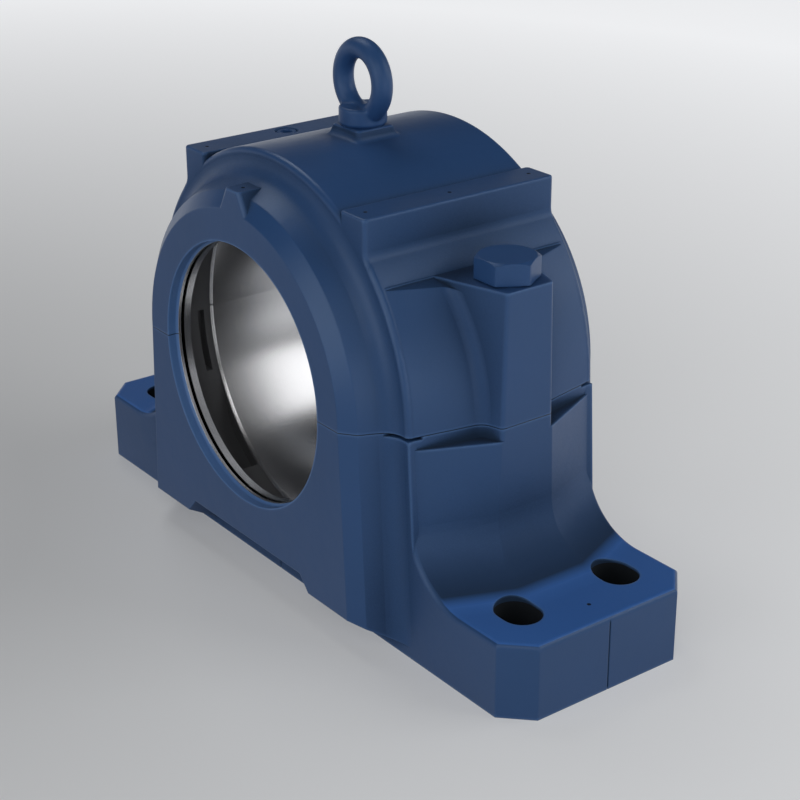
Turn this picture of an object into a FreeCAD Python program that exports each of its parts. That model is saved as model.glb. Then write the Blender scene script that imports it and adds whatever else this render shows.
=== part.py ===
import FreeCAD, Part
import math
import os

V = FreeCAD.Vector

# Split plummer block: an empty two-part cast housing for a shaft bearing of 200 mm outside diameter.
# Millimetres. X runs along the base, Y along the shaft, Z up. The origin is the middle of the
# mounting face, under the shaft axis, and the front of the housing faces -Y.

# Bearing seat and height of the shaft
axis_height = 125.0
seat_radius = 100.0
seat_width = 80.0
seat_chamfer = 1.2

# Chamber beside the seat, with its grease pockets
chamber_depth = 1.6
chamber_taper = 12.5
chamber_mouth_rise = 11.2
chamber_mouth_round = 10.0
chamber_corner_round = 5.0
sump_depth = 8.0
sump_start_angle = 25.0
sump_end_angle = 58.0
sump_side_gap = 0.8
sump_round = 25.0
sump_end_round = 2.0
oil_slot_width = 4.2
oil_slot_depth = 4.0
oil_slot_top = 2.0
oil_slot_bottom = 38.0
oil_slot_gap = 4.4

# Shaft opening with its seal groove
seal_radius = 72.8
mouth_step = 1.2
mouth_depth = 4.9
seal_lip_width = 2.8
seal_groove_depth = 6.2
seal_groove_width = 2.2
seal_land_width = 4.1

# Barrel and the rings at its ends
barrel_wall = 20.0
barrel_width = 123.0
barrel_edge_round = 3.0
ring_length = 23.0
ring_step = 22.5
ring_draft_angle = 24.5
ring_chamfer_face = 5.5
ring_chamfer_side = 6.2
ring_root_round = 12.0

# The rings continue down to the floor on the base, wider there and undercut
body_flare = 6.5
body_root_round = 13.0
undercut_front = 19.5
undercut_back = 6.3
notch_half_width = 61.5
notch_rise = 8.7
notch_side = 7.8

# Foot
base_length = 410.0
foot_height = 42.0
foot_corner_chamfer = 15.0
foot_edge_round = 3.0
core_half_length = 108.0
core_half_width = 44.0
core_height = 56.0
core_corner_round = 12.0
core_shell = 14.0
core_rib_offset = 40.0
core_rib_width = 9.0

# Foundation bolt slots
slot_end_distance = 32.0
slot_side_distance = 28.5
slot_width = 22.0
slot_length = 27.0

# Side walls of the base
cheek_set_back = 1.6
cheek_draft = 0.056
cheek_face_draft = 0.03
cheek_fillet = 36.0
ledge_drop = 7.0

# Flange at the joint and the bosses for the cap bolts
flange_end_gap = 3.5
crown_rise = 8.4
crown_half_width = 15.0
boss_wall = 18.0
boss_half_width = 16.5
boss_top_half_width = 15.0
boss_flare = 0.29
boss_height = 72.0
crown_relief_drop = 1.0
crown_relief_slope = 0.24
boss_edge_round = 2.5
crease_round = 8.0
pry_slot_length = 8.5
pry_slot_width = 14.0
pry_slot_height = 1.8

# Cap bolts
bolt_outset = 1.0
bolt_diameter = 20.0
bolt_length = 110.0
head_across_flats = 30.0
head_height = 12.5
head_chamfer_angle = 30.0
washer_face_diameter = 28.0
washer_face_height = 0.8
bolt_chamfer = 1.5
bolt_hole_clearance = 1.0
thread_clearance = 0.3
thread_run_out = 10.0

# Dowel pins across the joint
dowel_diameter = 8.0
dowel_length = 20.0
dowel_clearance = 0.1
dowel_chamfer = 0.8
dowel_inset = 7.0
dowel_offset = 30.0

# Machined rails along the shoulders of the cap
rail_inner = 64.0
rail_width = 21.0
rail_proud = 3.5
rail_corner_round = 2.5
rail_edge_round = 1.2
rail_root_round = 8.0
rail_root_sink = 0.05

# Alignment lugs on the rings
lug_rise = 6.5
lug_top_half_width = 6.5
lug_side_slope = 0.54
lug_length = 16.0
lug_root_drop = 24.0
lug_edge_round = 2.5

# Pad and eyebolt
pad_rise = 5.0
pad_half_width = 12.2
pad_side_slope = 0.3
pad_corner_round = 2.5
pad_edge_chamfer = 0.8
pad_root_drop = 10.0
pad_root_round = 4.0
eye_section = 11.5
eye_outside = 46.5
eye_centre_rise = 23.4
collar_diameter = 26.0
collar_height = 10.4
collar_chamfer = 1.0
collar_undercut = 1.5
shank_diameter = 10.0
shank_length = 17.0
shank_end_gap = 3.0

# Grease plug in the left rail
plug_diameter = 12.0
plug_length = 10.0
plug_sink = 0.4
plug_chamfer = 0.6
plug_mouth_chamfer = 0.7
plug_socket_flats = 6.4
plug_socket_depth = 5.0
grease_hole_diameter = 5.0

# Punched centre marks and scribed centre lines
mark_radius = 1.1
mark_depth = 1.2
foot_mark_inset = 16.0
rail_mark_inset = 8.5
lug_mark_inset = 7.5
line_width = 1.0
line_depth = 0.5

# How far cutting shapes reach past the surface they start from
past = 5.0

half_width = barrel_width / 2
half_housing = half_width + ring_length
half_length = base_length / 2
barrel_radius = seat_radius + barrel_wall
chamber_radius = seat_radius + chamber_depth
ring_corner_radius = barrel_radius - ring_step
ring_draft = math.tan(math.radians(ring_draft_angle))
ring_spread = ring_length * ring_draft
bolt_x = barrel_radius + bolt_outset
boss_face = bolt_x + boss_wall
boss_top = axis_height + boss_height
ledge_height = axis_height - ledge_drop
mouth_end = half_housing - mouth_depth
groove_outer = mouth_end - seal_lip_width
groove_inner = groove_outer - seal_groove_width
land_end = groove_inner - seal_land_width
chamber_end = land_end - chamber_taper
slot_x = half_length - slot_end_distance
slot_y = half_width - slot_side_distance
rail_middle = rail_inner + rail_width / 2
rail_top = axis_height + math.sqrt(barrel_radius ** 2 - rail_inner ** 2) + rail_proud
lug_top = axis_height + ring_corner_radius + lug_rise
pad_top = axis_height + barrel_radius + pad_rise
dowel_x = barrel_radius - dowel_inset


def rounded_wire(corners):
    """Closed wire through corner points, each given with the radius of its tangent arc."""
    edges = []
    ends = []
    count = len(corners)
    for index in range(count):
        corner, radius = corners[index]
        if radius == 0:
            ends.append((corner, None, corner))
            continue
        before = corners[index - 1][0] - corner
        after = corners[(index + 1) % count][0] - corner
        before.normalize()
        after.normalize()
        half_angle = before.getAngle(after) / 2
        bisector = before + after
        bisector.normalize()
        start = corner + before * (radius / math.tan(half_angle))
        end = corner + after * (radius / math.tan(half_angle))
        middle = corner + bisector * (radius / math.sin(half_angle) - radius)
        ends.append((start, Part.Arc(start, middle, end).toShape(), end))
    for index in range(count):
        start, arc, end = ends[index]
        if arc is not None:
            edges.append(arc)
        edges.append(Part.makeLine(end, ends[(index + 1) % count][0]))
    return Part.Wire(edges)


def prism(corners, direction):
    """Solid made by pushing a flat rounded outline along a direction."""
    return Part.Face(rounded_wire(corners)).extrude(direction)


def plan_prism(outline, low, high):
    """Upright solid between two heights, from plan corners given as (x, y, arc radius)."""
    corners = [(V(x, y, low), radius) for x, y, radius in outline]
    return prism(corners, V(0, 0, high - low))


def plan_loft(low_outline, low, high_outline, high):
    """Upright solid whose plan changes evenly from one height to the other."""
    low_wire = rounded_wire([(V(x, y, low), radius) for x, y, radius in low_outline])
    high_wire = rounded_wire([(V(x, y, high), radius) for x, y, radius in high_outline])
    faces = [Part.Face(low_wire), Part.Face(high_wire)]
    for low_edge, high_edge in zip(low_wire.Edges, high_wire.Edges):
        start = low_edge.valueAt(low_edge.FirstParameter)
        end = low_edge.valueAt(low_edge.LastParameter)
        high_start = high_edge.valueAt(high_edge.FirstParameter)
        high_end = high_edge.valueAt(high_edge.LastParameter)
        sides = Part.Wire([low_edge, Part.makeLine(end, high_end), high_edge, Part.makeLine(high_start, start)])
        is_arc = low_edge.Length > start.distanceToPoint(end) * 1.0001
        lean = (end - start).cross(high_start - start)
        lean.normalize()
        is_flat = not is_arc and abs(lean.dot(high_end - start)) < 0.0001
        faces.append(Part.Face(sides) if is_flat else Part.makeRuledSurface(low_edge, high_edge))
    shell = Part.Shell(faces)
    shell.sewShape()
    return Part.Solid(shell)


def box(x_low, x_high, y_low, y_high, z_low, z_high):
    return Part.makeBox(x_high - x_low, y_high - y_low, z_high - z_low, V(x_low, y_low, z_low))


def upright_cylinder(x, y, diameter, low, high):
    return Part.makeCylinder(diameter / 2, high - low, V(x, y, low))


def turned(profile, angle=360):
    """Solid of revolution about the shaft axis, from corners given as (y, radius, arc radius).

    It starts level with the axis on the +X side and turns over the top.
    """
    corners = [(V(radius, y, axis_height), arc) for y, radius, arc in profile]
    face = Part.Face(rounded_wire(corners))
    return face.revolve(V(0, 0, axis_height), V(0, -1, 0), angle)


def upright_turned(x, y, profile):
    """Solid of revolution about an upright axis, from corners given as (radius, height)."""
    corners = [(V(x + radius, y, height), 0) for radius, height in profile]
    return Part.Face(rounded_wire(corners)).revolve(V(x, y, 0), V(0, 0, 1), 360)


def both_ends(profile):
    """Front half of a profile followed by its mirror image at the rear."""
    rear = [(-y, radius, arc) for y, radius, arc in reversed(profile)]
    return profile + rear


def with_mirror_x(shapes):
    """The shapes together with their mirror images on the other side of the shaft."""
    return shapes + [shape.mirror(V(0, 0, 0), V(1, 0, 0)) for shape in shapes]


def with_mirror_y(shapes):
    """The shapes together with their mirror images at the rear."""
    return shapes + [shape.mirror(V(0, 0, 0), V(0, 1, 0)) for shape in shapes]


def edges_where(shape, test):
    """Edges of a shape whose sampled points all pass a test."""
    found = []
    for edge in shape.Edges:
        first = edge.FirstParameter
        span = edge.LastParameter - first
        if all(test(edge.valueAt(first + span * share)) for share in (0.1, 0.5, 0.9)):
            found.append(edge)
    return found


def near(value, target):
    return abs(value - target) < 0.01


def joint_flange():
    """Crowned flank and bolt boss of the right side, above and below the joint."""
    low = axis_height - 3 * ledge_drop
    high = boss_top + past
    flange_end = half_width - flange_end_gap
    crown_radius = barrel_radius + crown_rise
    crown = turned(both_ends([
        (-flange_end, 0, 0),
        (-flange_end, barrel_radius, 0),
        (-crown_half_width, crown_radius, 0),
    ]))
    crown = crown.common(box(0, boss_face, -flange_end, flange_end, low, high))
    draft = (boss_half_width - boss_top_half_width) / boss_height
    root_x = barrel_radius / 2

    def half_width_at(x, height):
        return boss_half_width - draft * (height - axis_height) + boss_flare * (boss_face - x)

    def outline(height):
        face_half = half_width_at(boss_face, height)
        root_half = half_width_at(root_x, height)
        return [
            (root_x, -root_half, 0),
            (boss_face, -face_half, boss_edge_round),
            (boss_face, face_half, boss_edge_round),
            (root_x, root_half, 0),
        ]

    pillar = plan_loft(outline(low), low, outline(high), high)
    flange = crown.fuse(pillar).removeSplitter()

    def on_crease(point):
        on_side = near(abs(point.y), half_width_at(point.x, point.z))
        return on_side and point.x < boss_face - past and low < point.z - 0.1 and point.z < high - 0.1

    flange = flange.makeFillet(crease_round, edges_where(flange, on_crease))
    relief_height = boss_top - crown_relief_drop
    barrel_side = math.sqrt(barrel_radius ** 2 - (relief_height - axis_height) ** 2)
    reach = boss_face - barrel_side
    relief = prism([
        (V(barrel_side, -half_width, relief_height), 0),
        (V(barrel_side, -half_width, high + past), 0),
        (V(boss_face + past, -half_width, high + past), 0),
        (V(boss_face + past, -half_width, relief_height - crown_relief_slope * (reach + past)), 0),
    ], V(0, barrel_width, 0))
    return flange.cut(relief.cut(pillar))


def hollow():
    """Everything turned out of the inside: mouths, seal grooves, chamber and bearing seat."""
    mouth_radius = seal_radius + mouth_step
    groove_radius = seal_radius + seal_groove_depth
    seat_edge = seat_width / 2
    front = [
        (-half_housing - past, 0, 0),
        (-half_housing - past, mouth_radius, 0),
        (-mouth_end, mouth_radius, 0),
        (-mouth_end + mouth_step, seal_radius, 0),
        (-groove_outer, seal_radius, 0),
        (-groove_outer, groove_radius, 0),
        (-groove_inner, groove_radius, 0),
        (-groove_inner, seal_radius, 0),
        (-land_end, seal_radius, 0),
        (-land_end, seal_radius + chamber_mouth_rise, chamber_mouth_round),
        (-chamber_end, chamber_radius, chamber_corner_round),
        (-seat_edge, chamber_radius, 0),
        (-seat_edge, seat_radius + seat_chamfer, 0),
        (-seat_edge + seat_chamfer, seat_radius, 0),
    ]
    return turned(both_ends(front))


def grease_pockets():
    """Deeper pockets low in the chamber, beside the seat at both ends and on both sides."""
    start = seat_width / 2 + sump_side_gap
    end = chamber_end + chamber_taper / 2

    def wall_point(radius, degrees):
        angle = math.radians(degrees)
        return V(radius * math.cos(angle), -end, axis_height - radius * math.sin(angle))

    pocket = prism([
        (wall_point(seat_radius / 2, sump_end_angle), 0),
        (wall_point(seat_radius / 2, sump_start_angle), 0),
        (wall_point(chamber_radius, sump_start_angle), 0),
        (wall_point(chamber_radius + sump_depth, (sump_start_angle + sump_end_angle) / 2), sump_round),
        (wall_point(chamber_radius + sump_depth, sump_end_angle), sump_end_round),
    ], V(0, end - start, 0))
    slot_start = seat_width / 2 + oil_slot_gap
    slot = box(seat_radius / 2, chamber_radius + oil_slot_depth, -slot_start - oil_slot_width, -slot_start,
               axis_height - oil_slot_bottom, axis_height - oil_slot_top)
    return with_mirror_y(with_mirror_x([pocket, slot]))


def foot_and_cheeks():
    """Foot plate with the side walls of the base rising out of it in large fillets."""
    foot = plan_prism([
        (half_length, -half_width + foot_corner_chamfer, 0),
        (half_length, half_width - foot_corner_chamfer, 0),
        (half_length - foot_corner_chamfer, half_width, 0),
        (-half_length + foot_corner_chamfer, half_width, 0),
        (-half_length, half_width - foot_corner_chamfer, 0),
        (-half_length, -half_width + foot_corner_chamfer, 0),
        (-half_length + foot_corner_chamfer, -half_width, 0),
        (half_length - foot_corner_chamfer, -half_width, 0),
    ], 0, foot_height)

    def outline(height):
        drop = axis_height - height
        end_x = barrel_radius - cheek_set_back + cheek_draft * drop
        face_half = boss_half_width + cheek_face_draft * drop
        right = [
            (end_x, -half_width, 0),
            (boss_face, -face_half, 0),
            (boss_face, face_half, 0),
            (end_x, half_width, 0),
        ]
        return right + [(-x, y, radius) for x, y, radius in reversed(right)]

    cheeks = plan_loft(outline(0), 0, outline(axis_height), axis_height)
    body = foot.fuse(cheeks).removeSplitter()
    foot_line = barrel_radius - cheek_set_back

    def on_root(point):
        beside_wall = foot_line < abs(point.x) < boss_face + 0.1 and abs(point.y) < half_width - 0.1
        return near(point.z, foot_height) and beside_wall

    body = body.makeFillet(cheek_fillet, edges_where(body, on_root)).removeSplitter()

    def on_rim(point):
        across = abs(point.x) + abs(point.y)
        on_end = near(abs(point.x), half_length) or near(across, half_length + half_width - foot_corner_chamfer)
        on_side = near(abs(point.y), half_width)
        return foot_height - 0.1 < point.z < axis_height - 0.1 and (on_end or on_side)

    return body.makeFillet(foot_edge_round, edges_where(body, on_rim))


def end_body():
    """Front body of the base under the ring, from the floor to the joint."""
    def outline(corner_x, root_round):
        root_x = corner_x + ring_spread
        right = [
            (root_x + root_round, -half_width + past, 0),
            (root_x + root_round, -half_width, 0),
            (root_x, -half_width, root_round),
            (corner_x + ring_draft * ring_chamfer_side, -half_housing + ring_chamfer_side, 0),
            (corner_x - ring_chamfer_face, -half_housing, 0),
        ]
        return right + [(-x, y, radius) for x, y, radius in reversed(right)]

    floor_outline = outline(ring_corner_radius + body_flare, body_root_round)
    joint_outline = outline(ring_corner_radius, ring_root_round)
    body = plan_loft(floor_outline, 0, joint_outline, axis_height)
    slope = V(0, -ring_length, undercut_front - undercut_back)
    reach = half_length
    underside = prism([
        (V(-reach, -half_width, -2 * undercut_front), 0),
        (V(reach, -half_width, -2 * undercut_front), 0),
        (V(reach, -half_width, undercut_back), 0),
        (V(-reach, -half_width, undercut_back), 0),
    ], slope * 2)
    notch = prism([
        (V(-notch_half_width, -half_width, undercut_back), 0),
        (V(notch_half_width, -half_width, undercut_back), 0),
        (V(notch_half_width - notch_side, -half_width, undercut_back + notch_rise), 0),
        (V(notch_side - notch_half_width, -half_width, undercut_back + notch_rise), 0),
    ], slope * 2)
    return body.cut([underside, notch])


def cored_underside():
    """Core under the seat that leaves an even shell round the bearing and two ribs across."""
    core = plan_prism([
        (-core_half_length, -core_half_width, core_corner_round),
        (core_half_length, -core_half_width, core_corner_round),
        (core_half_length, core_half_width, core_corner_round),
        (-core_half_length, core_half_width, core_corner_round),
    ], -past, core_height)
    shell = Part.makeCylinder(chamber_radius + core_shell, 2 * half_housing,
                              V(0, -half_housing, axis_height), V(0, 1, 0))
    rib = box(core_rib_offset - core_rib_width / 2, core_rib_offset + core_rib_width / 2,
              -half_width, half_width, -past, core_height)
    return core.cut([shell] + with_mirror_x([rib]))


def centre_mark(x, y, surface):
    """Small cone that leaves a punched centre mark in a level surface."""
    return upright_turned(x, y, [(0, surface - mark_depth), (mark_radius, surface), (0, surface)])


def base_marks():
    """Punch marks on the foot and the scribed lines on its ends and under the rings."""
    marks = [centre_mark(half_length - foot_mark_inset, 0, foot_height)]
    end_line = prism([
        (V(half_length, -line_width / 2, -past), 0),
        (V(half_length, line_width / 2, -past), 0),
        (V(half_length - line_depth, 0, -past), 0),
    ], V(0, 0, foot_height + 2 * past))
    front_line = prism([
        (V(-line_width / 2, -half_width, -past), 0),
        (V(line_width / 2, -half_width, -past), 0),
        (V(0, -half_width + line_depth, -past), 0),
    ], V(0, 0, past + undercut_back))
    return with_mirror_x(marks + [end_line]) + with_mirror_y([front_line])


def foundation_slots():
    """Four round-ended slots for the bolts that hold the housing down."""
    radius = slot_width / 2
    half_straight = slot_length / 2 - radius
    low = -past
    high = foot_height + cheek_fillet
    ends = [upright_cylinder(slot_x + side * half_straight, slot_y, slot_width, low, high) for side in (-1, 1)]
    middle = box(slot_x - half_straight, slot_x + half_straight, slot_y - radius, slot_y + radius, low, high)
    slot = middle.fuse(ends).removeSplitter()
    return with_mirror_y(with_mirror_x([slot]))


def dowel_places():
    return ((dowel_x, dowel_offset), (-dowel_x, -dowel_offset))


def dowel_holes():
    """Reamed holes for the dowel pins, through the joint into both halves."""
    radius = dowel_diameter / 2 + dowel_clearance
    half = dowel_length / 2
    return [upright_cylinder(x, y, 2 * radius, axis_height - half, axis_height + half)
            for x, y in dowel_places()]


def base():
    """Lower casting with the foot, up to the joint."""
    body = foot_and_cheeks()
    flange = joint_flange()
    top = plan_prism([
        (-barrel_radius, -half_width, barrel_edge_round),
        (barrel_radius, -half_width, barrel_edge_round),
        (barrel_radius, half_width, barrel_edge_round),
        (-barrel_radius, half_width, barrel_edge_round),
    ], ledge_height, axis_height + past)
    top = top.fuse(with_mirror_x([flange]))
    reach = half_length
    around_top = box(-reach, reach, -reach, reach, ledge_height, axis_height + past).cut(top)
    body = body.cut(around_top)

    body = body.fuse(with_mirror_y([end_body()])).removeSplitter()
    pry_slot = box(barrel_radius - pry_slot_width, barrel_radius + past, -half_width - past,
                   -half_width + pry_slot_length, axis_height - pry_slot_height, axis_height + past)
    bolt_tip = boss_top - bolt_length
    tapped = upright_cylinder(bolt_x, 0, bolt_diameter + 2 * thread_clearance,
                              bolt_tip - thread_run_out, axis_height + past)
    cuts = [hollow(), cored_underside()] + grease_pockets() + foundation_slots() + dowel_holes() + base_marks()
    cuts += with_mirror_y(with_mirror_x([pry_slot])) + with_mirror_x([tapped])
    return body.cut(cuts)


def rails():
    """Machined rails on both shoulders, flush with the ends of the barrel."""
    low = axis_height + barrel_radius / 2
    outer = rail_inner + rail_width
    arc_x = outer + rail_root_round
    to_arc = barrel_radius + rail_root_round - rail_root_sink
    arc_height = axis_height + math.sqrt(to_arc ** 2 - arc_x ** 2)
    towards_axis = V(-arc_x, 0, axis_height - arc_height)
    towards_axis.normalize()
    arc_centre = V(arc_x, -half_width, arc_height)
    on_rail = V(outer, -half_width, arc_height)
    on_barrel = arc_centre + towards_axis * rail_root_round
    between = towards_axis + V(-1, 0, 0)
    between.normalize()
    corners = [
        on_barrel,
        V(on_barrel.x, -half_width, low),
        V(rail_inner, -half_width, low),
        V(rail_inner, -half_width, rail_top),
        V(outer, -half_width, rail_top),
        on_rail,
    ]
    edges = [Part.makeLine(start, end) for start, end in zip(corners, corners[1:])]
    edges.append(Part.Arc(on_rail, arc_centre + between * rail_root_round, on_barrel).toShape())
    rail = Part.Face(Part.Wire(edges)).extrude(V(0, barrel_width, 0))

    def on_end_corner(point):
        at_side = near(point.x, rail_inner) or near(point.x, outer)
        return at_side and near(abs(point.y), half_width) and point.z > low

    rail = rail.makeFillet(rail_corner_round, edges_where(rail, on_end_corner))
    rail = rail.makeFillet(rail_edge_round, edges_where(rail, lambda point: near(point.z, rail_top)))
    return with_mirror_x([rail])


def lugs():
    """Alignment lugs standing on the rings, front and rear."""
    low = lug_top - lug_root_drop
    low_half = lug_top_half_width + lug_side_slope * lug_root_drop
    lug = prism([
        (V(-low_half, -half_housing, low), 0),
        (V(low_half, -half_housing, low), 0),
        (V(lug_top_half_width, -half_housing, lug_top), 0),
        (V(-lug_top_half_width, -half_housing, lug_top), 0),
    ], V(0, lug_length, 0))

    def on_front_corner(point):
        return near(point.y, -half_housing) and low + 0.1 < point.z < lug_top - 0.1

    lug = lug.makeFillet(lug_edge_round, edges_where(lug, on_front_corner))
    return with_mirror_y([lug])


def pad():
    """Square pad that the eyebolt is screwed down on."""
    low = pad_top - pad_root_drop
    edge = pad_top - pad_edge_chamfer
    low_half = pad_half_width + pad_side_slope * (edge - low)

    def outline(half):
        return [
            (-half, -half, pad_corner_round),
            (half, -half, pad_corner_round),
            (half, half, pad_corner_round),
            (-half, half, pad_corner_round),
        ]

    sides = plan_loft(outline(low_half), low, outline(pad_half_width), edge)
    bevel = plan_loft(outline(pad_half_width), edge, outline(pad_half_width - pad_edge_chamfer), pad_top)
    return sides.fuse(bevel).removeSplitter()


def plug_hole():
    """Tapped seat of the grease plug and the passage from it to the bearing."""
    radius = plug_diameter / 2 + thread_clearance
    plug_end = rail_top - plug_sink - plug_length
    seat = upright_turned(-rail_middle, 0, [
        (0, plug_end),
        (radius, plug_end),
        (radius, rail_top - plug_mouth_chamfer),
        (radius + plug_mouth_chamfer, rail_top),
        (radius + plug_mouth_chamfer, rail_top + past),
        (0, rail_top + past),
    ])
    passage = upright_cylinder(-rail_middle, 0, grease_hole_diameter, axis_height, plug_end)
    return [seat, passage]


def cap_marks():
    """Punch marks on the rails and lugs."""
    mark_y = half_width - rail_mark_inset
    marks = [centre_mark(x, y, rail_top) for x in (rail_middle, -rail_middle) for y in (-mark_y, mark_y)]
    marks.append(centre_mark(rail_middle, 0, rail_top))
    lug_y = half_housing - lug_mark_inset
    return marks + [centre_mark(0, y, lug_top) for y in (-lug_y, lug_y)]


def cap():
    """Upper casting, from the joint up."""
    shell = turned(both_ends([
        (-half_housing, 0, 0),
        (-half_housing, ring_corner_radius - ring_chamfer_face, 0),
        (-half_housing + ring_chamfer_side, ring_corner_radius + ring_draft * ring_chamfer_side, 0),
        (-half_width, ring_corner_radius + ring_spread, ring_root_round),
        (-half_width, barrel_radius, barrel_edge_round),
    ]), 180)
    between = box(0, boss_face + past, -half_width, half_width, axis_height, boss_top)
    flange = joint_flange().common(between)
    body = shell.fuse(with_mirror_x([flange]) + rails() + lugs() + [pad()]).removeSplitter()

    def on_pad_root(point):
        beside_pad = abs(point.x) < rail_inner / 2 and abs(point.y) < rail_inner / 2
        on_barrel = near(math.hypot(point.x, point.z - axis_height), barrel_radius)
        return on_barrel and beside_pad and point.z > pad_top - pad_root_drop

    body = body.makeFillet(pad_root_round, edges_where(body, on_pad_root))
    bolt_hole = upright_cylinder(bolt_x, 0, bolt_diameter + 2 * bolt_hole_clearance,
                                 axis_height - past, boss_top + past)
    spot_face = upright_cylinder(bolt_x, 0, 2 * boss_wall, boss_top, boss_top + past)
    eye_hole = upright_cylinder(0, 0, shank_diameter + 2 * thread_clearance,
                                pad_top - shank_length - shank_end_gap, pad_top + past)
    cuts = [hollow(), eye_hole] + with_mirror_x([bolt_hole, spot_face]) + dowel_holes() + plug_hole()
    return body.cut(cuts + cap_marks())


def hexagon(x, y, across_flats, low, high):
    """Upright hexagonal prism with a corner pointing along X."""
    radius = across_flats / math.sqrt(3)
    corners = []
    for step in range(6):
        angle = math.radians(60 * step)
        corners.append((V(x + radius * math.cos(angle), y + radius * math.sin(angle), low), 0))
    return prism(corners, V(0, 0, high - low))


def cap_bolt(x):
    """Hexagon head bolt that clamps the cap to the base."""
    head_top = boss_top + head_height
    head = hexagon(x, 0, head_across_flats, boss_top + washer_face_height, head_top)
    corner_radius = head_across_flats / math.sqrt(3)
    flat_radius = head_across_flats / 2
    chamfer = (corner_radius + past - flat_radius) * math.tan(math.radians(head_chamfer_angle))
    rounding = upright_turned(x, 0, [
        (0, boss_top),
        (corner_radius + past, boss_top),
        (corner_radius + past, head_top - chamfer),
        (flat_radius, head_top),
        (0, head_top),
    ])
    head = head.common(rounding)
    washer_face = upright_cylinder(x, 0, washer_face_diameter, boss_top, boss_top + washer_face_height)
    radius = bolt_diameter / 2
    tip = boss_top - bolt_length
    shank = upright_turned(x, 0, [
        (0, tip),
        (radius - bolt_chamfer, tip),
        (radius, tip + bolt_chamfer),
        (radius, boss_top),
        (0, boss_top),
    ])
    return head.fuse([washer_face, shank]).removeSplitter()


def dowel_pin(x, y):
    """Plain pin that lines the cap up with the base."""
    radius = dowel_diameter / 2
    low = axis_height - dowel_length / 2
    high = axis_height + dowel_length / 2
    return upright_turned(x, y, [
        (0, low),
        (radius - dowel_chamfer, low),
        (radius, low + dowel_chamfer),
        (radius, high - dowel_chamfer),
        (radius - dowel_chamfer, high),
        (0, high),
    ])


def eyebolt():
    """Lifting eyebolt: ring, collar and shank in one forging."""
    radius = shank_diameter / 2
    collar_radius = collar_diameter / 2
    collar_top = pad_top + collar_height
    stem = upright_turned(0, 0, [
        (0, pad_top - shank_length),
        (radius - collar_chamfer, pad_top - shank_length),
        (radius, pad_top - shank_length + collar_chamfer),
        (radius, pad_top),
        (collar_radius - collar_undercut, pad_top),
        (collar_radius, pad_top + collar_undercut),
        (collar_radius, collar_top - collar_chamfer),
        (collar_radius - collar_chamfer, collar_top),
        (0, collar_top),
    ])
    ring_radius = (eye_outside - eye_section) / 2
    ring = Part.makeTorus(ring_radius, eye_section / 2, V(0, 0, pad_top + eye_centre_rise), V(0, 1, 0))
    below = box(-eye_outside, eye_outside, -eye_outside, eye_outside, pad_top - past, pad_top)
    return stem.fuse(ring.cut(below)).removeSplitter()


def grease_plug():
    """Socket plug that closes the grease hole."""
    radius = plug_diameter / 2
    top = rail_top - plug_sink
    plug = upright_turned(-rail_middle, 0, [
        (0, top - plug_length),
        (radius - plug_chamfer, top - plug_length),
        (radius, top - plug_length + plug_chamfer),
        (radius, top - plug_chamfer),
        (radius - plug_chamfer, top),
        (0, top),
    ])
    socket = hexagon(-rail_middle, 0, plug_socket_flats, top - plug_socket_depth, top + past)
    return plug.cut(socket)


parts = {
    "base": base(),
    "cap": cap(),
    "cap_bolt_right": cap_bolt(bolt_x),
    "cap_bolt_left": cap_bolt(-bolt_x),
    "dowel_pin_right": dowel_pin(dowel_x, dowel_offset),
    "dowel_pin_left": dowel_pin(-dowel_x, -dowel_offset),
    "eyebolt": eyebolt(),
    "grease_plug": grease_plug(),
}

os.makedirs("parts", exist_ok=True)
for name, shape in parts.items():
    shape.exportStep("parts/" + name + ".step")
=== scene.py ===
import math

import bmesh
import bpy
from mathutils import Matrix, Vector


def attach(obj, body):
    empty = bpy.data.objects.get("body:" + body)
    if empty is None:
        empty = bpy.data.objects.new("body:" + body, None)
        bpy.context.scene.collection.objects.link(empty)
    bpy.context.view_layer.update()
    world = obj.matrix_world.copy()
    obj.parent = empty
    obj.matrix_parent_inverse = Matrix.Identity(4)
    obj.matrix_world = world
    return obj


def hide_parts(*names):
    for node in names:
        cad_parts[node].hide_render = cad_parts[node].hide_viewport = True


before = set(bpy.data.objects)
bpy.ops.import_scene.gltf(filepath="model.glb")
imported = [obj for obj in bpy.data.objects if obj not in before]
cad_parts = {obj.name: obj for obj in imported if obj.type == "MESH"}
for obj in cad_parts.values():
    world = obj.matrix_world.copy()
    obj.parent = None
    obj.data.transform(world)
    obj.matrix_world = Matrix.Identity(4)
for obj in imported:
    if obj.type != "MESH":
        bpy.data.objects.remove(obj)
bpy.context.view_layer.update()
scene = bpy.context.scene
scene.view_settings.view_transform = "Standard"

# Camera: stands to the right of the front and a little above it, with a long lens, so that the
# foot, the bore and the right flank all show. Angles in degrees, places in metres.
CAMERA_AZIMUTH = math.radians(53.734)
CAMERA_ELEVATION = math.radians(23.106)
CAMERA_ROLL = math.radians(-0.547)
CAMERA_DISTANCE = 1.073813
CAMERA_TARGET = Vector((-0.0257, 0.0279, 0.0872))
CAMERA_LENS = 82.02
CAMERA_SHIFT = (0.02617, -0.0303)

camera = bpy.data.objects.new("camera", bpy.data.cameras.new("camera"))
camera.data.lens = CAMERA_LENS
camera.data.shift_x, camera.data.shift_y = CAMERA_SHIFT
toward = Vector((
    math.sin(CAMERA_AZIMUTH) * math.cos(CAMERA_ELEVATION),
    -math.cos(CAMERA_AZIMUTH) * math.cos(CAMERA_ELEVATION),
    math.sin(CAMERA_ELEVATION),
))
level = Matrix.Rotation(CAMERA_ROLL, 4, "Z")
aim = toward.to_track_quat("Z", "Y").to_matrix().to_4x4()
camera.matrix_world = Matrix.Translation(CAMERA_TARGET + toward * CAMERA_DISTANCE) @ aim @ level
scene.collection.objects.link(camera)
scene.camera = camera

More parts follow.
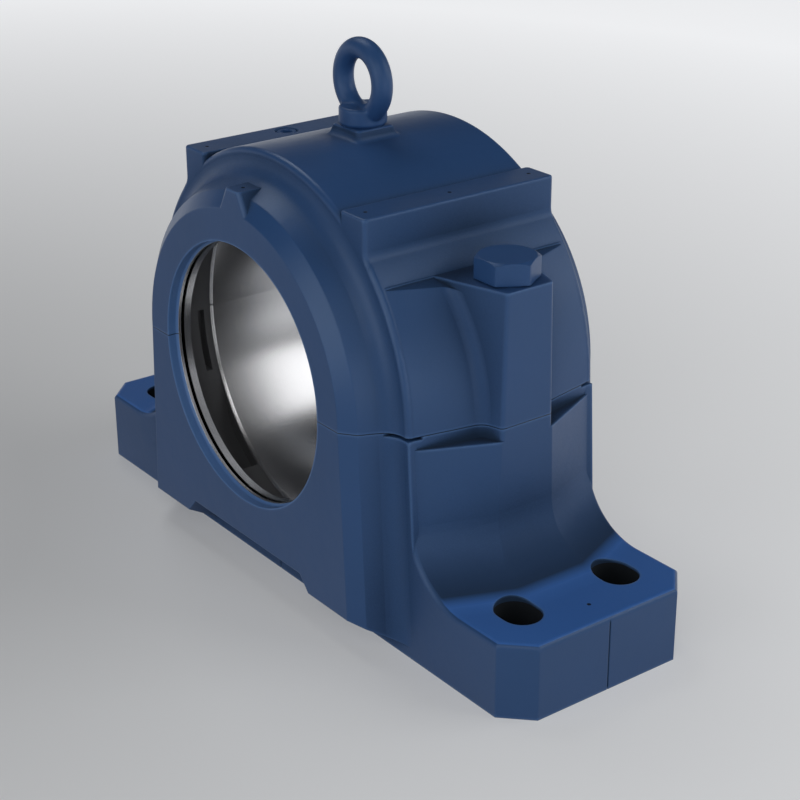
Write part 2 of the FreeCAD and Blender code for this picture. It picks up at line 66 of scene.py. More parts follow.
# Studio floor and light: a pale painted floor that runs out of the picture on all sides, in a dim
# room with a pale horizon. Six square soft boxes stand round the housing, low in front and to the
# right and rear, and high on its left, so that its level faces stay deep blue.
FLOOR_SIZE = 12.0
FLOOR_CELLS = 24
FLOOR_GAP = 0.0001
FLOOR_COLOUR = (0.52, 0.53, 0.54, 1)
FLOOR_SHADE = (0.5148, 0.5247, 0.5346, 1)
FLOOR_MOTTLE = {"Scale": 3.0, "Detail": 3.0}
FLOOR_ROUGHNESS = 0.8
FLOOR_SHINE = 0.2
GLOW_COLOUR = (0.97, 0.98, 1.0, 1)
SHADED_GLOW_MIDDLE = (-0.3, -0.4, 0)
GLOW_START = 0.3
GLOW_END = 1.6
NEAR_GLOW = 0.16
FAR_GLOW = 0.78
ROOM_COLOUR = (0.60, 0.61, 0.62, 1)
ROOM_STRENGTH = 0.04
HORIZON_STRENGTH = 0.8
HORIZON_FADE = (0.10, 0.30)
HAZE_STRENGTH = 0.6
HAZE_TOP = 0.12
LAMP_DISTANCE = 1.6
LAMP_AIM = Vector((0, 0, 0.12))
LAMPS = {
    "front_box": {"azimuth": 4, "elevation": 16, "size": 1.0, "power": 5.4},
    "high_front_box": {"azimuth": 46, "elevation": 34, "size": 0.8, "power": 3.4},
    "right_box": {"azimuth": 84, "elevation": 10, "size": 0.8, "power": 2.6},
    "rear_right_box": {"azimuth": 134, "elevation": 31, "size": 1.0, "power": 5.8},
    "rim_box": {"azimuth": 155, "elevation": 14, "size": 0.8, "power": 1.0},
    "high_box": {"azimuth": -90, "elevation": 58, "size": 0.8, "power": 4.6},
}


def node(tree, kind, inputs=None, **settings):
    """Adds a shader node. Each input is a socket to link from, or a plain value."""
    made = tree.nodes.new(kind)
    for name, value in settings.items():
        setattr(made, name, value)
    for socket, value in (inputs or {}).items():
        if isinstance(value, bpy.types.NodeSocket):
            tree.links.new(value, made.inputs[socket])
        else:
            made.inputs[socket].default_value = value
    return made


def maths(tree, operation, *values):
    """One value worked out from others."""
    return node(tree, "ShaderNodeMath", dict(enumerate(values)), operation=operation).outputs[0]


def ramp(tree, value, start, end, low=0.0, high=1.0):
    """Runs from low to high while the value runs from start to end."""
    limits = {"Value": value, "From Min": start, "From Max": end, "To Min": low, "To Max": high}
    return node(tree, "ShaderNodeMapRange", limits).outputs[0]


def blend(tree, factor, low, high):
    """One colour run into another."""
    colours = {"Factor": factor, "A": low, "B": high}
    return node(tree, "ShaderNodeMix", colours, data_type="RGBA").outputs["Result"]


def seen(tree):
    """1 for what the camera sees, straight on or in a shine, and 0 for the light it gives."""
    rays = node(tree, "ShaderNodeLightPath").outputs
    straight = maths(tree, "MAXIMUM", rays["Is Camera Ray"], rays["Is Glossy Ray"])
    return maths(tree, "MAXIMUM", straight, rays["Is Transmission Ray"])


def new_finish(name):
    """A finish, with its nodes and the shader that they lead to."""
    finish = bpy.data.materials.new(name)
    finish.use_nodes = True
    return finish, finish.node_tree, finish.node_tree.nodes["Principled BSDF"]


floor_mesh = bmesh.new()
bmesh.ops.create_grid(
    floor_mesh, x_segments=FLOOR_CELLS, y_segments=FLOOR_CELLS, size=FLOOR_SIZE / 2)
floor_data = bpy.data.meshes.new("floor")
floor_mesh.to_mesh(floor_data)
floor_mesh.free()
floor = bpy.data.objects.new("floor", floor_data)
floor.location.z = -FLOOR_GAP
scene.collection.objects.link(floor)

floor_paint, tree, shader = new_finish("floor_paint")
shader.inputs["Roughness"].default_value = FLOOR_ROUGHNESS
shader.inputs["Specular IOR Level"].default_value = FLOOR_SHINE
mottle = node(tree, "ShaderNodeTexNoise", FLOOR_MOTTLE).outputs["Fac"]
tree.links.new(blend(tree, mottle, FLOOR_SHADE, FLOOR_COLOUR), shader.inputs["Base Color"])
# The floor glows more the farther it lies from a point to the front left of the housing: this
# brightens the far floor and paints shade on the floor at the front left
place = node(tree, "ShaderNodeTexCoord").outputs["Object"]
from_middle = node(tree, "ShaderNodeVectorMath", {0: place, 1: SHADED_GLOW_MIDDLE}, operation="DISTANCE")
glow_and_painted_shade = ramp(tree, from_middle.outputs["Value"], GLOW_START, GLOW_END, NEAR_GLOW, FAR_GLOW)
shader.inputs["Emission Color"].default_value = GLOW_COLOUR
tree.links.new(maths(tree, "MULTIPLY", seen(tree), glow_and_painted_shade), shader.inputs["Emission Strength"])
floor_data.materials.append(floor_paint)

world = bpy.data.worlds.new("room")
world.use_nodes = True
scene.world = world
tree = world.node_tree
room = tree.nodes["Background"]
room.inputs["Color"].default_value = ROOM_COLOUR
view = node(tree, "ShaderNodeTexCoord").outputs["Generated"]
rise = node(tree, "ShaderNodeSeparateXYZ", {"Vector": view}).outputs["Z"]
horizon = ramp(tree, rise, *HORIZON_FADE, HORIZON_STRENGTH, 0.0)
haze = ramp(tree, rise, 0.0, HAZE_TOP, HAZE_STRENGTH, 0.0)
backdrop = maths(tree, "MULTIPLY", seen(tree), maths(tree, "ADD", horizon, haze))
tree.links.new(maths(tree, "ADD", backdrop, ROOM_STRENGTH), room.inputs["Strength"])

for name, lamp in LAMPS.items():
    azimuth = math.radians(lamp["azimuth"])
    elevation = math.radians(lamp["elevation"])
    outward = Vector((
        math.sin(azimuth) * math.cos(elevation),
        -math.cos(azimuth) * math.cos(elevation),
        math.sin(elevation),
    ))
    light = bpy.data.lights.new(name, "AREA")
    light.shape = "SQUARE"
    light.size = lamp["size"]
    light.energy = lamp["power"]
    holder = bpy.data.objects.new(name, light)
    holder.location = LAMP_AIM + outward * LAMP_DISTANCE
    holder.rotation_mode = "QUATERNION"
    holder.rotation_quaternion = outward.to_track_quat("Z", "Y")
    scene.collection.objects.link(holder)

# Base and cap: grey iron castings, split level with the shaft axis and sprayed with one coat of
# satin blue. The bearing seat, the seal lands and the mounting face are turned or milled bright,
# and the chamber with its grease pockets is left raw. Zones are in metres in the castings' frame.
PAINT_BLUE = (0.033, 0.093, 0.255, 1)
PAINT_SHADE = (0.027, 0.079, 0.21, 1)
HOLLOW_SHADE_PAINT = (0.012, 0.03, 0.07, 1)
EDGE_HIGHLIGHT_PAINT = (0.09, 0.20, 0.45, 1)
PAINT_SHEEN = (0.72, 0.86, 1.0, 1)
PAINT_SHINE = 0.52
PAINT_ROUGHNESS = (0.31, 0.39)
HOLLOW_ROUGHNESS = 0.8
FOOT_TOP_LIGHT_PAINT = (0.050, 0.165, 0.50, 1)
MOUTH_LIGHT_PAINT = (0.10, 0.22, 0.50, 1)
JOINT_AND_DIMPLE_SHADE_BLACK = (0.004, 0.008, 0.018, 1)
RECESS_SHADE_BLACK = (0.006, 0.007, 0.009, 1)
RAW_IRON = (0.20, 0.20, 0.205, 1)
RAW_IRON_DARK = (0.12, 0.12, 0.125, 1)
RAW_ROUGHNESS = 0.62
RAW_METAL = 0.5
TURNED_STEEL = (0.66, 0.66, 0.67, 1)
TURNED_STEEL_DARK = (0.56, 0.56, 0.575, 1)
TURNED_ROUGHNESS = (0.21, 0.27)
PAINTED_HIGHLIGHT_STEEL = (0.95, 0.95, 0.96, 1)
CLOUD = {"Scale": 18.0, "Detail": 4.0}
SWELL = {"Scale": 60.0, "Detail": 3.0}
SWELL_DEPTH = 0.0002
GRAIN = {"Scale": 900.0, "Detail": 4.0, "Roughness": 0.6}
GRAIN_DEPTH = 0.000012
TOOL_LINES = {"Scale": 6000.0, "Detail": 2.0}
TOOL_LINE_DEPTH = 0.000004
AXIS_HEIGHT = 0.125
MOUNTING_FACE = 0.00006
SEAT_HALF_WIDTH = 0.04005
SEAT_EDGE_START = 0.03885
SEAT_STEP_RADIUS = 0.1018
SEAL_START = 0.07045
SEAL_END = 0.07845
SEAL_LIP_RADIUS = 0.0745
SEAL_GROOVE_RADIUS = 0.0793
MOUTH_RADIUS = 0.0745
CHAMBER_HALF_WIDTH = 0.0706
CHAMBER_RADIUS = 0.1019
POCKET_HALF_WIDTH = 0.0645
POCKET_RADIUS = 0.1104
POCKET_TOP = 0.0825
OIL_SLOT_HALF_WIDTH = 0.0490
OIL_SLOT_RADIUS = 0.1125
OIL_SLOT_TOP = 0.1235
SLOT_PLACE = (0.173, 0.033)
SLOT_HALF_STRAIGHT = 0.0025
SLOT_RADIUS = 0.0112
FOOT_RIM = 0.0405
FOOT_TOP = 0.0432
FOOT_FADE = 0.0456
FOOT_LEVEL = 0.8
WALL_START = 0.112
WALL_CLEAR = 0.078
WALL_SHADE = 0.85
WALL_TURN = (0.25, 0.65)
JOINT_HALF_LINE = 0.00022
MARK_PLACES = ((0.0745, 0.053), (0.0745, 0.0), (0.189, 0.0), (0.0, 0.077))
MARK_RADIUS = 0.0011
MARK_LEVEL = 0.4
HOLLOW_REACH = 0.08
HOLLOW_OPENNESS = (0.95, 0.68)
EDGE_REACH = 0.0024
EDGE_OPENNESS = (0.85, 0.45)
EDGE_LIGHTNESS = 0.8
OPENNESS_SAMPLES = 8
EDGE_ROUND = 0.0013
SEAT_EDGE_ROUND = 0.0022
EDGE_SAMPLES = 6


def below(tree, value, limit):
    """1 where the value is under the limit."""
    return maths(tree, "LESS_THAN", value, limit)


def above(tree, value, limit):
    """1 where the value is over the limit."""
    return maths(tree, "GREATER_THAN", value, limit)


def both(tree, *zones):
    """1 only where every zone is 1."""
    whole = zones[0]
    for zone in zones[1:]:
        whole = maths(tree, "MULTIPLY", whole, zone)
    return whole


def either(tree, *zones):
    """1 where any zone is 1."""
    whole = zones[0]
    for zone in zones[1:]:
        whole = maths(tree, "MAXIMUM", whole, zone)
    return whole


def distance(tree, first, second):
    """Length of the two sides' diagonal."""
    first_square = maths(tree, "MULTIPLY", first, first)
    second_square = maths(tree, "MULTIPLY", second, second)
    return maths(tree, "SQRT", maths(tree, "ADD", first_square, second_square))


def noise(tree, place, texture):
    """Uneven shading over the surface, around 0.5."""
    return node(tree, "ShaderNodeTexNoise", {"Vector": place, **texture}).outputs["Fac"]


def openness(tree, reach, inside=False):
    """1 on an open face, less in a recess or, looked at from inside, along an edge."""
    made = node(tree, "ShaderNodeAmbientOcclusion", {"Distance": reach}, samples=OPENNESS_SAMPLES)
    made.only_local = True
    made.inside = inside
    return made.outputs["AO"]


def skin(tree, relief, edge_round):
    """The face's fine relief, over edges that are softened by a small round."""
    edges = node(tree, "ShaderNodeBevel", {"Radius": edge_round}, samples=EDGE_SAMPLES).outputs[0]
    bump = {"Height": relief, "Strength": 1.0, "Distance": 1.0, "Normal": edges}
    return node(tree, "ShaderNodeBump", bump).outputs[0]


def dress(name, finish):
    """Gives a carried-over piece its finish."""
    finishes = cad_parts[name].data.materials
    finishes.clear()
    finishes.append(finish)


casting, tree, shader = new_finish("painted_casting")
shader.inputs["Specular IOR Level"].default_value = PAINT_SHINE
shader.inputs["Specular Tint"].default_value = PAINT_SHEEN
place = node(tree, "ShaderNodeTexCoord").outputs["Object"]
across, along, height = node(tree, "ShaderNodeSeparateXYZ", {"Vector": place}).outputs
aside = maths(tree, "ABSOLUTE", across)
depth = maths(tree, "ABSOLUTE", along)
above_axis = maths(tree, "SUBTRACT", height, AXIS_HEIGHT)
radius = distance(tree, across, above_axis)
normal = node(tree, "ShaderNodeNewGeometry").outputs["Normal"]
facing = node(tree, "ShaderNodeSeparateXYZ", {"Vector": normal}).outputs

# Turned and milled faces
seat = both(tree, below(tree, depth, SEAT_HALF_WIDTH), below(tree, radius, SEAT_STEP_RADIUS))
seat_edge = both(tree, seat, above(tree, depth, SEAT_EDGE_START))
seal = both(
    tree, above(tree, depth, SEAL_START), below(tree, depth, SEAL_END),
    below(tree, radius, SEAL_GROOVE_RADIUS))
# Painted shade: the seal grooves are near black
painted_groove_shade = both(tree, seal, above(tree, radius, SEAL_LIP_RADIUS))
bright = either(tree, seat, seal, below(tree, height, MOUNTING_FACE))

# Raw faces
chamber = both(
    tree, below(tree, depth, CHAMBER_HALF_WIDTH), below(tree, radius, CHAMBER_RADIUS))
pocket = both(
    tree, below(tree, depth, POCKET_HALF_WIDTH), below(tree, radius, POCKET_RADIUS),
    below(tree, height, POCKET_TOP))
oil_slot = both(
    tree, below(tree, depth, OIL_SLOT_HALF_WIDTH), below(tree, radius, OIL_SLOT_RADIUS),
    below(tree, height, OIL_SLOT_TOP))
raw = either(tree, chamber, pocket, oil_slot)
painted = maths(tree, "SUBTRACT", 1.0, either(tree, bright, raw))

# Painted light and shade, and the dark joint line
# Painted shade: the walls of the foundation slots are near black
slot_x = maths(tree, "ABSOLUTE", maths(tree, "SUBTRACT", aside, SLOT_PLACE[0]))
slot_y = maths(tree, "SUBTRACT", depth, SLOT_PLACE[1])
past_straight = maths(tree, "MAXIMUM", maths(tree, "SUBTRACT", slot_x, SLOT_HALF_STRAIGHT), 0.0)
painted_slot_shade = both(
    tree, below(tree, distance(tree, past_straight, slot_y), SLOT_RADIUS),
    below(tree, height, FOOT_RIM))
# Painted light: the feet's upward faces get a brighter blue
painted_light_foot_top = both(
    tree, ramp(tree, height, FOOT_TOP, FOOT_FADE, 1.0, 0.0), above(tree, height, FOOT_RIM),
    above(tree, facing["Z"], FOOT_LEVEL))
# Painted light: the painted mouth of each seal bore gets a brighter blue
painted_light_mouth = both(tree, above(tree, depth, SEAL_END), below(tree, radius, MOUTH_RADIUS))
joint = below(tree, maths(tree, "ABSOLUTE", above_axis), JOINT_HALF_LINE)
# Painted shade: the small upward dimples take the near black of the joint line
painted_dimple_shade_spots = []
for mark_x, mark_y in MARK_PLACES:
    off_x = maths(tree, "SUBTRACT", aside, mark_x)
    off_y = maths(tree, "SUBTRACT", depth, mark_y)
    painted_dimple_shade_spots.append(below(tree, distance(tree, off_x, off_y), MARK_RADIUS))
painted_dimple_shade = both(tree, either(tree, *painted_dimple_shade_spots), above(tree, facing["Z"], MARK_LEVEL))
# Painted shade: the paint darkens in hollows outside the seal bores, and low on the walls just
# above the feet
painted_hollow_shade = both(
    tree, ramp(tree, openness(tree, HOLLOW_REACH), *HOLLOW_OPENNESS),
    above(tree, radius, MOUTH_RADIUS))
painted_wall_root_shade = both(
    tree, ramp(tree, height, FOOT_FADE, WALL_CLEAR, WALL_SHADE, 0.0),
    above(tree, height, FOOT_TOP), above(tree, aside, WALL_START),
    ramp(tree, maths(tree, "ABSOLUTE", facing["Y"]), *WALL_TURN, 1.0, 0.0))
painted_hollow_shade = either(tree, painted_hollow_shade, painted_wall_root_shade)
# Painted highlight: a lighter blue along convex edges, found by looking for occlusion from inside
painted_edge_highlight = ramp(tree, openness(tree, EDGE_REACH, inside=True), *EDGE_OPENNESS, 0.0, EDGE_LIGHTNESS)

# Colour
cloud = noise(tree, place, CLOUD)
paint = blend(tree, cloud, PAINT_SHADE, PAINT_BLUE)
# Painted shade and painted light laid over the paint, with the dark joint line among them
tones = (
    (painted_hollow_shade, HOLLOW_SHADE_PAINT),
    (painted_light_foot_top, FOOT_TOP_LIGHT_PAINT),
    (painted_edge_highlight, EDGE_HIGHLIGHT_PAINT),
    (painted_dimple_shade, JOINT_AND_DIMPLE_SHADE_BLACK),
    (painted_light_mouth, MOUTH_LIGHT_PAINT),
    (joint, JOINT_AND_DIMPLE_SHADE_BLACK),
    (painted_slot_shade, RECESS_SHADE_BLACK),
)
for zone, tone in tones:
    paint = blend(tree, zone, paint, tone)
iron = blend(tree, cloud, RAW_IRON_DARK, RAW_IRON)
turned_place = node(tree, "ShaderNodeCombineXYZ", {"X": depth, "Y": radius}).outputs[0]
tool_lines = noise(tree, turned_place, TOOL_LINES)
steel = blend(tree, tool_lines, TURNED_STEEL_DARK, TURNED_STEEL)
# Painted highlight: the seat's chamfered edge and the seal lands are a brighter steel
steel = blend(tree, either(tree, seat_edge, seal), steel, PAINTED_HIGHLIGHT_STEEL)
steel = blend(tree, painted_groove_shade, steel, RECESS_SHADE_BLACK)
cast_colour = blend(tree, raw, paint, iron)
tree.links.new(blend(tree, bright, cast_colour, steel), shader.inputs["Base Color"])

# Shine
swell = noise(tree, place, SWELL)
hollow_dull = maths(tree, "MULTIPLY", painted_hollow_shade, HOLLOW_ROUGHNESS)
paint_dull = maths(tree, "ADD", ramp(tree, swell, 0.0, 1.0, *PAINT_ROUGHNESS), hollow_dull)
cast_dull = maths(tree, "MAXIMUM", paint_dull, maths(tree, "MULTIPLY", raw, RAW_ROUGHNESS))
turned_dull = ramp(tree, tool_lines, 0.0, 1.0, *TURNED_ROUGHNESS)
dull = node(tree, "ShaderNodeMix", {"Factor": bright, "A": cast_dull, "B": turned_dull})
tree.links.new(dull.outputs["Result"], shader.inputs["Roughness"])
metal = maths(tree, "MAXIMUM", bright, maths(tree, "MULTIPLY", raw, RAW_METAL))
tree.links.new(metal, shader.inputs["Metallic"])

# Relief
grain_relief = maths(tree, "MULTIPLY", noise(tree, place, GRAIN), GRAIN_DEPTH)
swell_relief = maths(tree, "MULTIPLY", swell, SWELL_DEPTH)
cast_relief = both(tree, maths(tree, "ADD", grain_relief, swell_relief), painted)
turned_relief = both(tree, tool_lines, bright, TOOL_LINE_DEPTH)
painted_round = maths(tree, "MULTIPLY", painted, EDGE_ROUND)
seat_round = maths(tree, "MULTIPLY", seat_edge, SEAT_EDGE_ROUND)
casting_skin = skin(
    tree, maths(tree, "ADD", cast_relief, turned_relief),
    maths(tree, "ADD", painted_round, seat_round))
tree.links.new(casting_skin, shader.inputs["Normal"])

for name in ("base", "cap"):
    dress(name, casting)

# Cap bolts: two M20 x 110 hexagon bolts of forged and rolled steel that clamp the cap to the base.
# They are painted over with the housing, so head and spot face share one skin of blue.
BOLT_PLACE = 0.121
BOLT_SEAT = 0.197
BOLT_LENGTH = 0.110
BOLT_RADIUS = 0.010
BOLT_PITCH = 0.0025
BOLT_THREAD_LENGTH = 0.046
BOLT_TIP_CHAMFER = 0.0015
HEAD_FLAT_RADIUS = 0.015
HEAD_CORNER_RADIUS = 0.0171
HEAD_TOP_RADIUS = 0.014775
HEAD_HEIGHT = 0.0125
HEAD_CHAMFER = math.tan(math.radians(30))
WASHER_FACE_RADIUS = 0.014
WASHER_FACE_HEIGHT = 0.0008
RING_POINTS = 96
THREAD_POINTS = 48
THREAD_DEPTH = 0.61
THREAD_FLANK = 0.4
ROWS_A_TURN = 8
SHARP_ANGLE = math.radians(28)
FITTING_SHINE = 0.42
FITTING_ROUGHNESS = (0.37, 0.45)
FITTING_CLOUD = {"Scale": 40.0, "Detail": 4.0}
FITTING_GRAIN = {"Scale": 900.0, "Detail": 4.0}
FITTING_GRAIN_DEPTH = 0.00002
FITTING_EDGE_ROUND = 0.0006


def ringed_mesh(made, rings, points):
    """Adds a closed skin over level rings. Each ring gives a radius and a height for an angle."""
    rows = []
    for ring in rings:
        row = []
        for step in range(points):
            angle = 2 * math.pi * step / points
            size, level_at = ring(angle)
            row.append(made.verts.new((size * math.cos(angle), size * math.sin(angle), level_at)))
        rows.append(row)
    for upper, lower in zip(rows, rows[1:]):
        for step in range(points):
            ahead = (step + 1) % points
            made.faces.new((upper[step], upper[ahead], lower[ahead], lower[step]))
    made.faces.new(reversed(rows[0]))
    made.faces.new(rows[-1])


def round_ring(size, level_at):
    """A ring of one radius at one height."""
    return lambda angle: (size, level_at)


def thread_rings(crest, pitch, high, low):
    """Rings of a rolled thread from one height down to another, run out at both ends."""
    rings = []
    count = round((high - low) / pitch * ROWS_A_TURN)
    for row in range(count + 1):
        level_at = high - (high - low) * row / count
        run_out = min(1, (high - level_at) / pitch, (level_at - low) / pitch)

        def ring(angle, level_at=level_at, run_out=run_out):
            turn = (level_at / pitch - angle / (2 * math.pi)) % 1
            cut = min(1, turn / THREAD_FLANK, (1 - turn) / THREAD_FLANK)
            return crest - THREAD_DEPTH * pitch * run_out * cut, level_at

        rings.append(ring)
    return rings


def hexagon_radius(angle, flat_radius, corner_radius):
    """Distance from the middle of a hexagon to its side, with its corners just broken."""
    from_flat = (angle - math.pi / 6) % (math.pi / 3)
    from_flat = min(from_flat, math.pi / 3 - from_flat)
    return min(flat_radius / math.cos(from_flat), corner_radius)


def head_ring(level_at):
    """The head's six sides at one height."""
    return lambda angle: (hexagon_radius(angle, HEAD_FLAT_RADIUS, HEAD_CORNER_RADIUS), level_at)


def chamfer_ring(angle):
    """Where the turned chamfer of the head meets its six sides."""
    size = hexagon_radius(angle, HEAD_FLAT_RADIUS, HEAD_CORNER_RADIUS)
    return size, HEAD_HEIGHT - (size - HEAD_TOP_RADIUS) * HEAD_CHAMFER


def finished_piece(name, made, place):
    """Turns the skin into an object with crisp corners and smooth rounds, set at its place."""
    bmesh.ops.recalc_face_normals(made, faces=made.faces)
    bmesh.ops.translate(made, verts=made.verts, vec=place)
    for face in made.faces:
        face.smooth = True
    for edge in made.edges:
        edge.smooth = edge.calc_face_angle(math.pi) < SHARP_ANGLE
    data = bpy.data.meshes.new(name)
    made.to_mesh(data)
    made.free()
    piece = bpy.data.objects.new(name, data)
    scene.collection.objects.link(piece)
    return piece


painted_steel, tree, shader = new_finish("painted_steel")
shader.inputs["Specular IOR Level"].default_value = FITTING_SHINE
shader.inputs["Specular Tint"].default_value = PAINT_SHEEN
place = node(tree, "ShaderNodeTexCoord").outputs["Object"]
cloud = noise(tree, place, FITTING_CLOUD)
tree.links.new(blend(tree, cloud, PAINT_SHADE, PAINT_BLUE), shader.inputs["Base Color"])
tree.links.new(ramp(tree, cloud, 0.0, 1.0, *FITTING_ROUGHNESS), shader.inputs["Roughness"])
fitting_relief = maths(tree, "MULTIPLY", noise(tree, place, FITTING_GRAIN), FITTING_GRAIN_DEPTH)
tree.links.new(skin(tree, fitting_relief, FITTING_EDGE_ROUND), shader.inputs["Normal"])

for side, name in ((1, "right"), (-1, "left")):
    made = bmesh.new()
    head = [
        round_ring(HEAD_FLAT_RADIUS / 2, HEAD_HEIGHT),
        round_ring(HEAD_TOP_RADIUS, HEAD_HEIGHT),
        chamfer_ring,
        head_ring(HEAD_HEIGHT / 2),
        head_ring(WASHER_FACE_HEIGHT),
        round_ring(WASHER_FACE_RADIUS, WASHER_FACE_HEIGHT),
        round_ring(WASHER_FACE_RADIUS, 0),
        round_ring(BOLT_RADIUS, 0),
    ]
    thread_start = BOLT_THREAD_LENGTH - BOLT_LENGTH
    thread_end = BOLT_TIP_CHAMFER - BOLT_LENGTH
    thread = thread_rings(BOLT_RADIUS, BOLT_PITCH, thread_start, thread_end)
    tip = [round_ring(BOLT_RADIUS - BOLT_TIP_CHAMFER, -BOLT_LENGTH)]
    ringed_mesh(made, head + thread + tip, RING_POINTS)
    bolt = finished_piece("hexagon_bolt_" + name, made, (side * BOLT_PLACE, 0, BOLT_SEAT))
    bolt.data.materials.append(painted_steel)
    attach(bolt, "root")
    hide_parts("cap_bolt_" + name)

# Dowel pins: two 8 mm pins of hardened and ground steel that line the cap up with the base. They
# are pressed into reamed holes across the joint, out of sight while the housing is closed.
GROUND_STEEL = (0.56, 0.57, 0.59, 1)
GROUND_STEEL_DARK = (0.48, 0.49, 0.51, 1)
GROUND_ROUGHNESS = (0.18, 0.28)
GRINDING = {"Scale": 400.0, "Detail": 3.0}
GRINDING_STRETCH = (1, 1, 30)

ground_steel, tree, shader = new_finish("ground_steel")
shader.inputs["Metallic"].default_value = 1.0
place = node(tree, "ShaderNodeTexCoord").outputs["Object"]
stretched = node(tree, "ShaderNodeMapping", {"Vector": place, "Scale": GRINDING_STRETCH}).outputs[0]
grinding = noise(tree, stretched, GRINDING)
ground_colour = blend(tree, grinding, GROUND_STEEL_DARK, GROUND_STEEL)
tree.links.new(ground_colour, shader.inputs["Base Color"])
tree.links.new(ramp(tree, grinding, 0.0, 1.0, *GROUND_ROUGHNESS), shader.inputs["Roughness"])
for name in ("dowel_pin_right", "dowel_pin_left"):
    dress(name, ground_steel)

# Eyebolt: ring, collar and M10 shank drop-forged in one piece from steel and painted with the cap.
# It is screwed down until its collar lies on the pad.
EYE_PLACE = (0, 0, 0.250)
EYE_CENTRE = 0.0234
EYE_RING_RADIUS = 0.0175
EYE_SECTION_RADIUS = 0.00575
EYE_SECTIONS = 120
EYE_SECTION_POINTS = 40
COLLAR_RADIUS = 0.013
COLLAR_HEIGHT = 0.0104
COLLAR_CHAMFER = 0.001
COLLAR_UNDERCUT = 0.0015
SHANK_RADIUS = 0.005
SHANK_LENGTH = 0.017
SHANK_PITCH = 0.0015
FORGING_GRID = 0.0005
FORGED_ROUND = 0.0030
FORGED_PASSES = 14
FORGED_PULL = 0.5

made = bmesh.new()
loops = []
for step in range(EYE_SECTIONS):
    turn = 2 * math.pi * step / EYE_SECTIONS
    loop = []
    for tick in range(EYE_SECTION_POINTS):
        angle = 2 * math.pi * tick / EYE_SECTION_POINTS
        reach = EYE_RING_RADIUS + EYE_SECTION_RADIUS * math.cos(angle)
        loop.append(made.verts.new((
            reach * math.cos(turn),
            EYE_SECTION_RADIUS * math.sin(angle),
            EYE_CENTRE + reach * math.sin(turn),
        )))
    loops.append(loop)
for step in range(EYE_SECTIONS):
    loop = loops[step]
    after = loops[(step + 1) % EYE_SECTIONS]
    for tick in range(EYE_SECTION_POINTS):
        ahead = (tick + 1) % EYE_SECTION_POINTS
        made.faces.new((loop[tick], loop[ahead], after[ahead], after[tick]))
ringed_mesh(made, [
    round_ring(COLLAR_RADIUS - COLLAR_CHAMFER, COLLAR_HEIGHT),
    round_ring(COLLAR_RADIUS, COLLAR_HEIGHT - COLLAR_CHAMFER),
    round_ring(COLLAR_RADIUS, COLLAR_UNDERCUT),
    round_ring(COLLAR_RADIUS - COLLAR_UNDERCUT, 0),
], RING_POINTS)
bmesh.ops.recalc_face_normals(made, faces=made.faces)

# Ring and collar are merged into one skin on a fine grid
rough_data = bpy.data.meshes.new("forging")
made.to_mesh(rough_data)
made.free()
forging = bpy.data.objects.new("forging", rough_data)
scene.collection.objects.link(forging)
grid = forging.modifiers.new("grid", "REMESH")
grid.mode = "VOXEL"
grid.voxel_size = FORGING_GRID
bpy.context.view_layer.update()
merged = forging.evaluated_get(bpy.context.evaluated_depsgraph_get()).to_mesh()
made = bmesh.new()
made.from_mesh(merged)
bpy.data.objects.remove(forging)
bpy.data.meshes.remove(rough_data)


def from_ring_skin(point):
    """How far a point lies outside the ring's own round section."""
    reach = math.hypot(point.x, point.z - EYE_CENTRE) - EYE_RING_RADIUS
    return math.hypot(reach, point.y) - EYE_SECTION_RADIUS


def ease(made, verts):
    """Pulls each point towards its neighbours, as a forging die rounds its metal."""
    bmesh.ops.smooth_vert(
        made, verts=verts, factor=FORGED_PULL, use_axis_x=True, use_axis_y=True, use_axis_z=True)


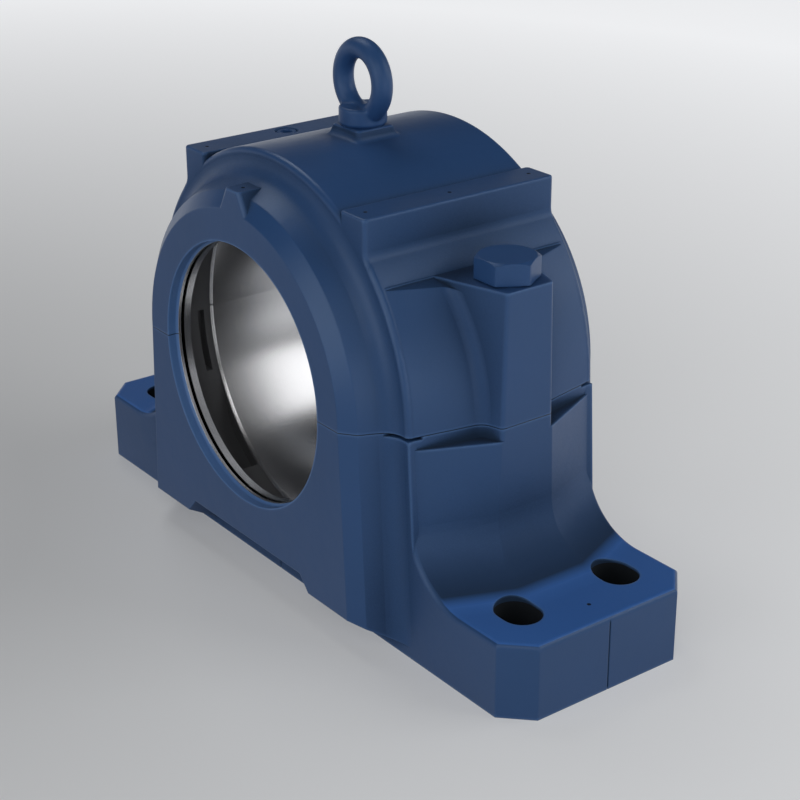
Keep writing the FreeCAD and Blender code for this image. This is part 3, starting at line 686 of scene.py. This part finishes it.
# The corner between ring and collar is rounded most
root = [
    vert for vert in made.verts
    if abs(vert.co.z - COLLAR_HEIGHT) < FORGED_ROUND
    and abs(from_ring_skin(vert.co)) < FORGED_ROUND
]
for turn in range(FORGED_PASSES):
    ease(made, root)
ease(made, made.verts)
for vert in made.verts:
    vert.co.z = max(vert.co.z, 0)
shank = [round_ring(SHANK_RADIUS, COLLAR_UNDERCUT)]
shank += thread_rings(SHANK_RADIUS, SHANK_PITCH, -SHANK_PITCH / 2, COLLAR_CHAMFER - SHANK_LENGTH)
shank.append(round_ring(SHANK_RADIUS - COLLAR_CHAMFER, -SHANK_LENGTH))
ringed_mesh(made, shank, THREAD_POINTS)
eyebolt = finished_piece("lifting_eyebolt", made, EYE_PLACE)
eyebolt.data.materials.append(painted_steel)
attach(eyebolt, "root")
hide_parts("eyebolt")

# Grease plug: turned steel plug with an inner hexagon, screwed into the left rail until it lies
# just under the rail's face, and painted over with it.
PLUG_PLACE = -0.0745
PLUG_TOP = 0.22961
PLUG_RADIUS = 0.006
PLUG_LENGTH = 0.010
PLUG_PITCH = 0.0015
PLUG_CHAMFER = 0.0006
SOCKET_FLOOR_RADIUS = 0.00128
SOCKET_FLAT_RADIUS = 0.0032
SOCKET_CORNER_RADIUS = 0.00367
SOCKET_DEPTH = 0.005
SOCKET_CHAMFER = 0.0003


def socket_ring(grown, level_at):
    """The six sides of the socket at one height, or its broken edge."""
    return lambda angle: (
        grown + hexagon_radius(angle, SOCKET_FLAT_RADIUS, SOCKET_CORNER_RADIUS), level_at)


made = bmesh.new()
plug = [
    round_ring(SOCKET_FLOOR_RADIUS, -SOCKET_DEPTH),
    socket_ring(0, -SOCKET_DEPTH),
    socket_ring(0, -SOCKET_CHAMFER),
    socket_ring(SOCKET_CHAMFER, 0),
    round_ring(PLUG_RADIUS - PLUG_CHAMFER, 0),
    round_ring(PLUG_RADIUS, -PLUG_CHAMFER),
]
plug += thread_rings(PLUG_RADIUS, PLUG_PITCH, -PLUG_CHAMFER * 2, PLUG_CHAMFER - PLUG_LENGTH)
plug.append(round_ring(PLUG_RADIUS - PLUG_CHAMFER, -PLUG_LENGTH))
ringed_mesh(made, plug, THREAD_POINTS)
grease_plug = finished_piece("socket_plug", made, (PLUG_PLACE, 0, PLUG_TOP))
grease_plug.data.materials.append(painted_steel)
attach(grease_plug, "root")
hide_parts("grease_plug")
